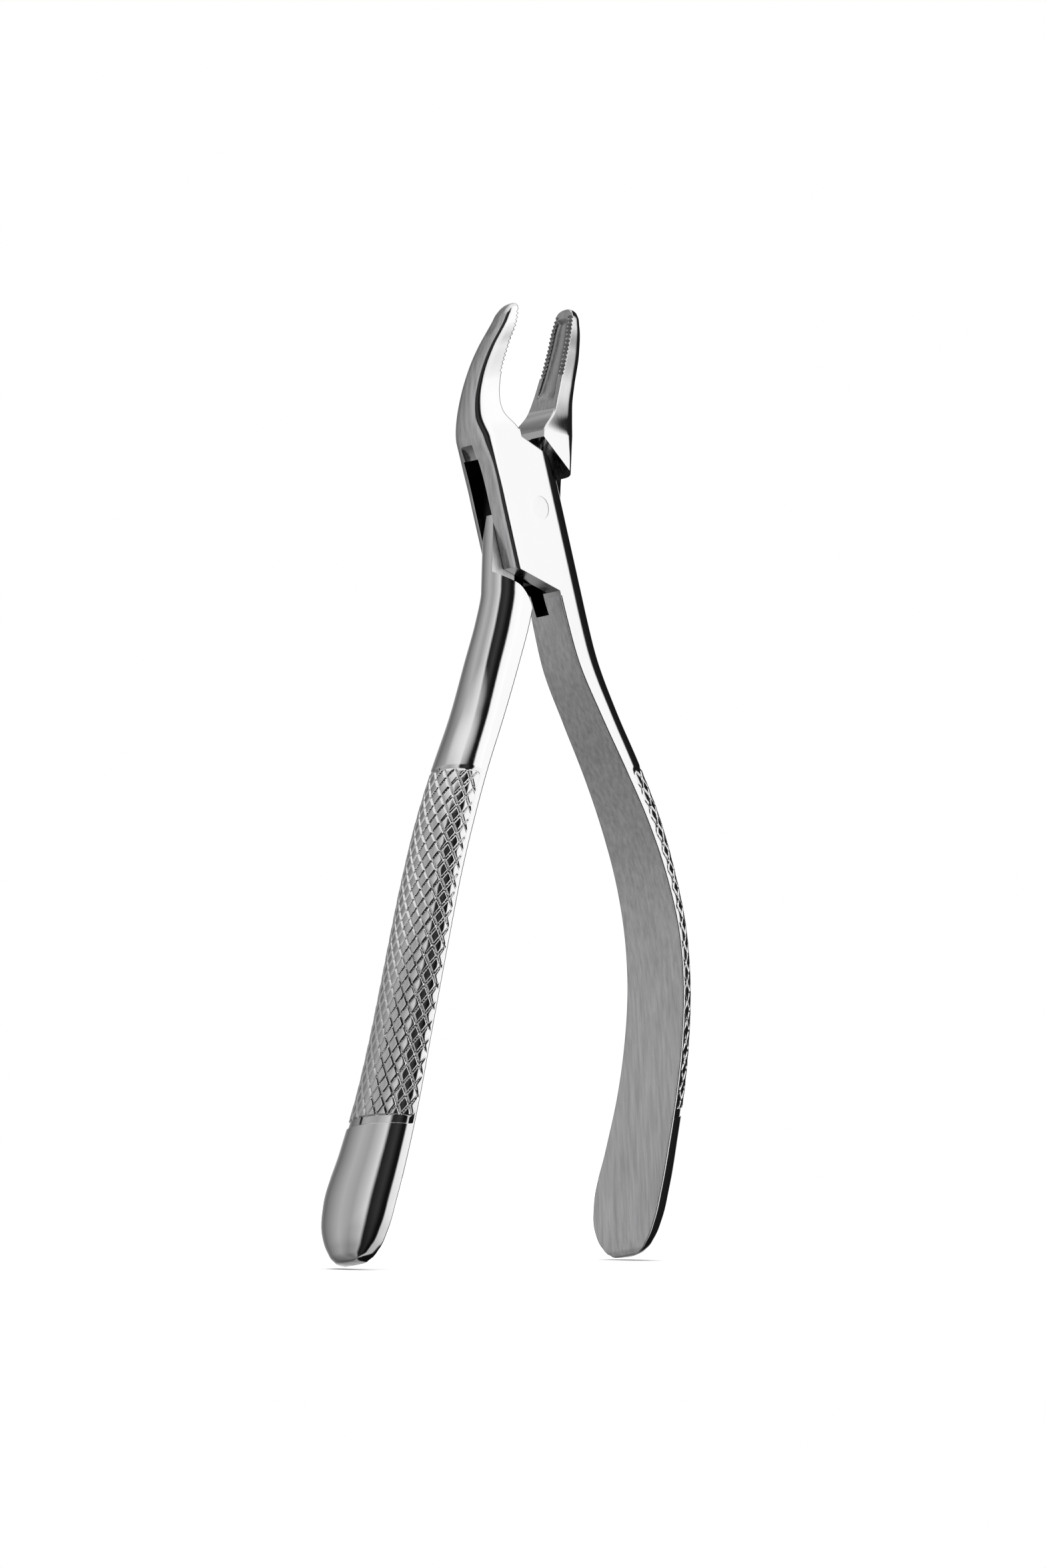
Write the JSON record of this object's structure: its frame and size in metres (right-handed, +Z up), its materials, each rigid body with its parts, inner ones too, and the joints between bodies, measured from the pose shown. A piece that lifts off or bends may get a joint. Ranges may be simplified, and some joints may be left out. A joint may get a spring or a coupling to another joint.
{
  "type": "extraction forceps",
  "caption": "Dental extraction forceps with a box joint, curved knurled handles and tapered, serrated beaks that close on a crown.",
  "frame": {"origin": "on the pivot axis, at the outer face of the back cheek of the box joint", "axes": "+Z runs up to the beaks with the handle ends down, +X is the direction in which the handles part, -Y is the front, where the pin's face and the beaks' bend show"},
  "size_m": [0.0778, 0.0262, 0.171],
  "materials": {
    "arm_steel": "polished and satin stainless steel",
    "pin_steel": "ground flush with the cheeks"
  },
  "bodies": {
    "box_arm_body": {"box_arm": "arm_steel", "pivot_pin": "pin_steel"},
    "tongue_arm_body": {"tongue_arm": "arm_steel"}
  },
  "joints": [
    {"name": "box_joint", "type": "hinge", "parent": "box_arm_body", "child": "tongue_arm_body", "pos_m": [0, -0.00431, 0.00061], "axis": [0, -0.9903, 0.1392], "range_deg": [-20, 19.3]}
  ]
}
